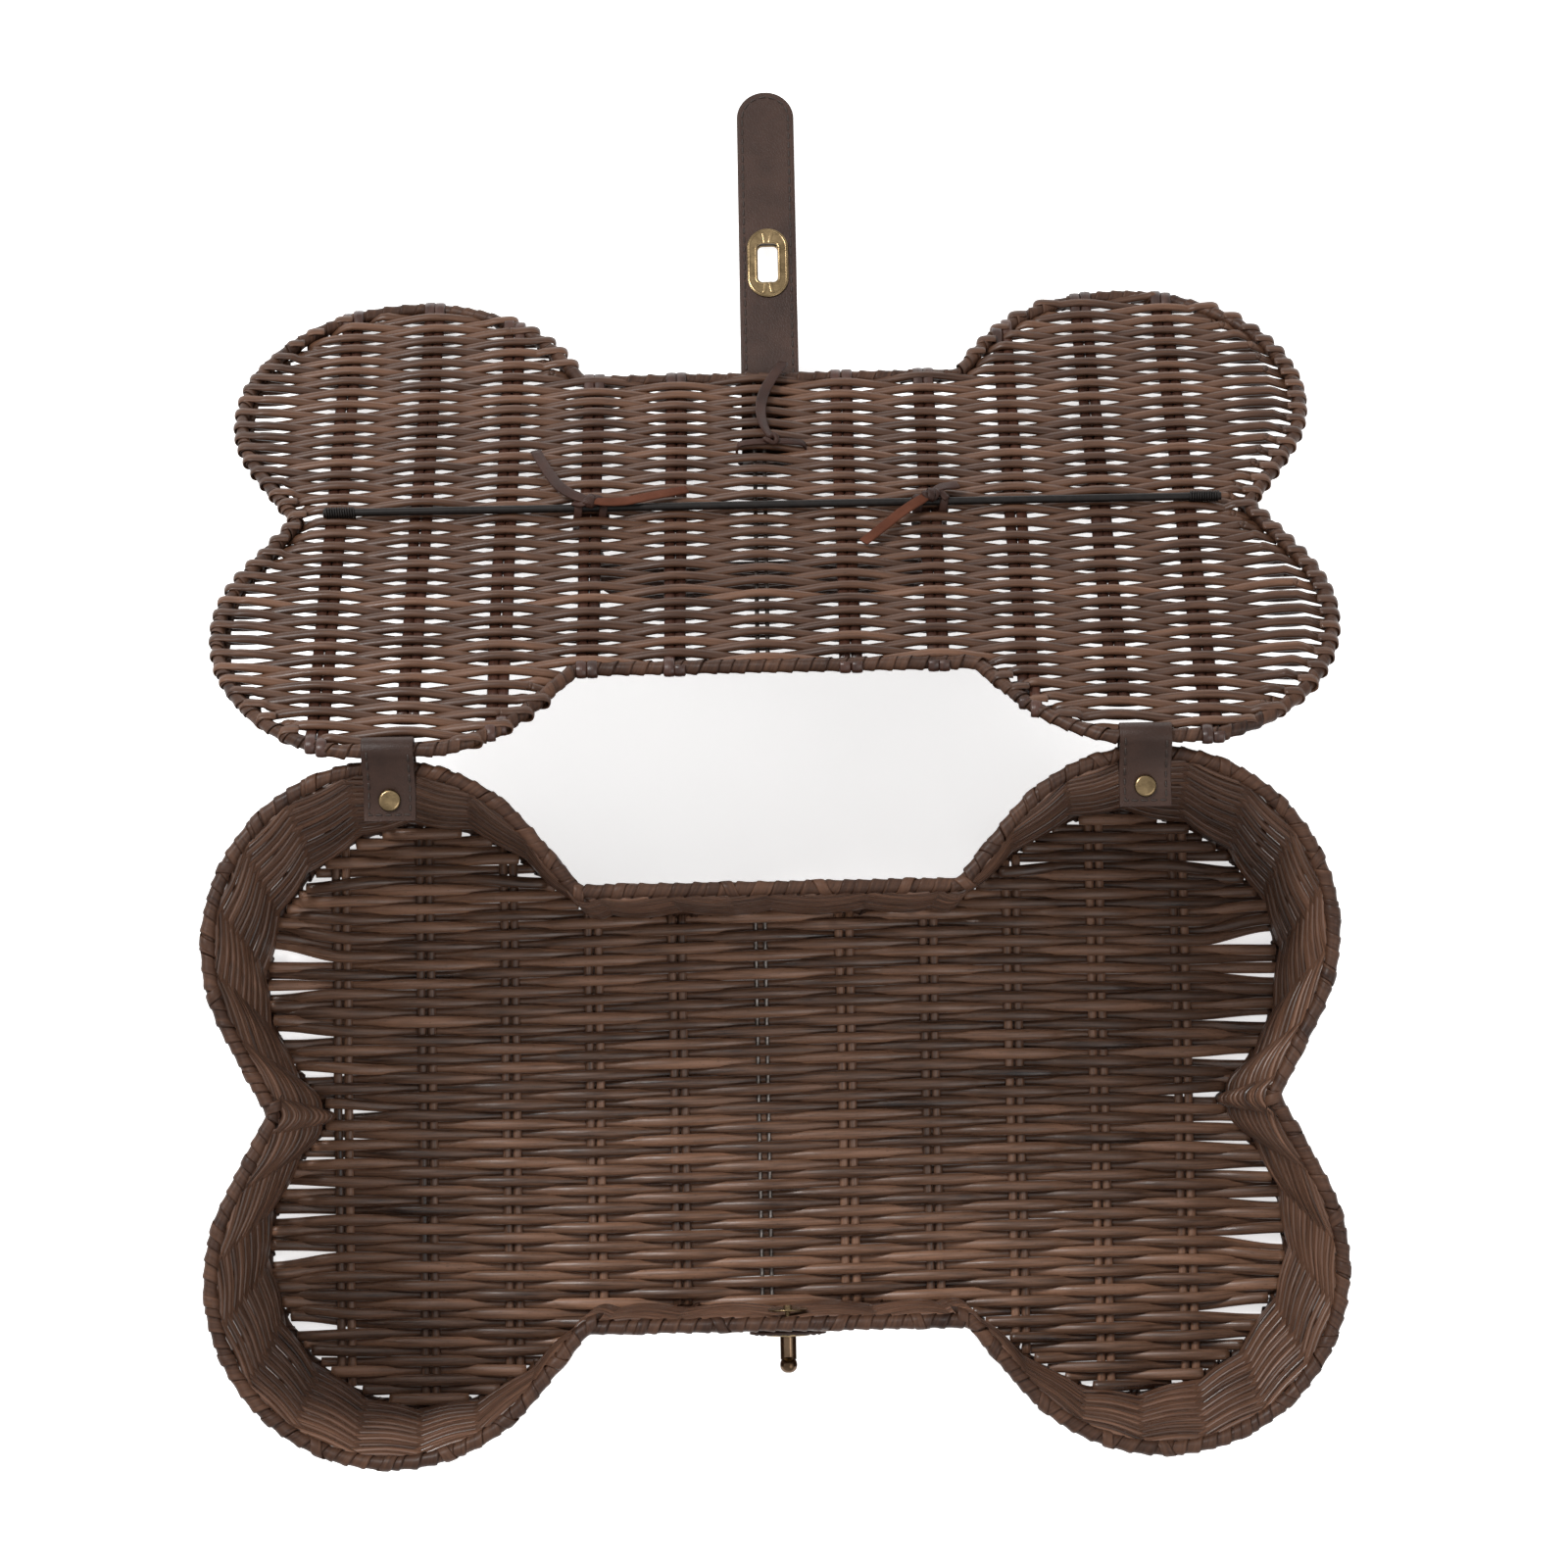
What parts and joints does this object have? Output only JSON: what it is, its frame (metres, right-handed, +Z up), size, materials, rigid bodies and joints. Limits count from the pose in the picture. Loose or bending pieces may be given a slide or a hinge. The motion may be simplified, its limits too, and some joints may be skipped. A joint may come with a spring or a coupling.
{
  "type": "wicker picnic basket",
  "caption": "Dog-bone shaped wicker picnic basket with a hinged woven lid, leather hinge loops, closure strap with turn-lock, and carry handle.",
  "frame": {"origin": "middle of the base's underside, on the surface that the basket stands on", "axes": "+Z up, +Y to the back where the hinges are, +X to the right seen from the front"},
  "size_m": [0.4655, 0.5966, 0.194],
  "materials": {
    "willow": "satin stain",
    "willow_dark": "satin stain",
    "split_willow": "satin stain",
    "steel_wire": "dull",
    "black_steel": "satin",
    "leather": "smooth",
    "lace_leather": "smooth one side, suede the other",
    "antique_brass": "antique"
  },
  "bodies": {
    "basket": {"base_hoop": "willow", "base_weave": "willow", "base_stakes": "willow_dark", "base_centre_wires": "steel_wire", "wall_weave": "willow", "wall_stakes": "willow_dark", "rim_wire": "steel_wire", "rim_binding": "split_willow", "hinge_strap_left": "leather", "hinge_strap_right": "leather", "hinge_rivet_caps": "antique_brass", "hinge_rivet_posts": "antique_brass", "lock_patch": "leather", "lock_plate": "antique_brass", "lock_back_plate": "antique_brass", "lock_rivets": "antique_brass"},
    "lock_knob": {"lock_knob": "antique_brass"},
    "lid": {"lid_border_wire": "steel_wire", "lid_border_binding": "split_willow", "lid_weave": "willow", "lid_stakes": "willow_dark", "lid_centre_wires": "steel_wire", "lid_cross_rod": "black_steel", "cross_rod_end_wraps": "black_steel", "lace_left": "lace_leather", "lace_right": "lace_leather", "lace_centre": "lace_leather", "strap_root": "leather"},
    "strap": {"strap_leather": "leather", "strap_lining": "leather", "eyelet_front": "antique_brass", "eyelet_back": "antique_brass"},
    "handle": {"handle_leather": "leather", "handle_lining": "leather"}
  },
  "joints": [
    {"name": "lid_hinge", "type": "hinge", "parent": "basket", "child": "lid", "pos_m": [0, 0.145, 0.1886], "axis": [1, 0, 0], "range_deg": [0, 221.01]},
    {"name": "strap_bend", "type": "hinge", "parent": "lid", "child": "strap", "pos_m": [0.004, 0.31933, 0.03064], "axis": [1, 0, 0], "range_deg": [0, 52.95]},
    {"name": "handle_swing", "type": "hinge", "parent": "lid", "child": "handle", "pos_m": [-0.001, 0.2454, 0.0907], "axis": [1, 0, 0], "range_deg": [-75, 75]},
    {"name": "knob_turn", "type": "hinge", "parent": "basket", "child": "lock_knob", "pos_m": [0.004, -0.0933, 0.13896], "axis": [0, -1, 0], "range_deg": [0, 90]}
  ]
}
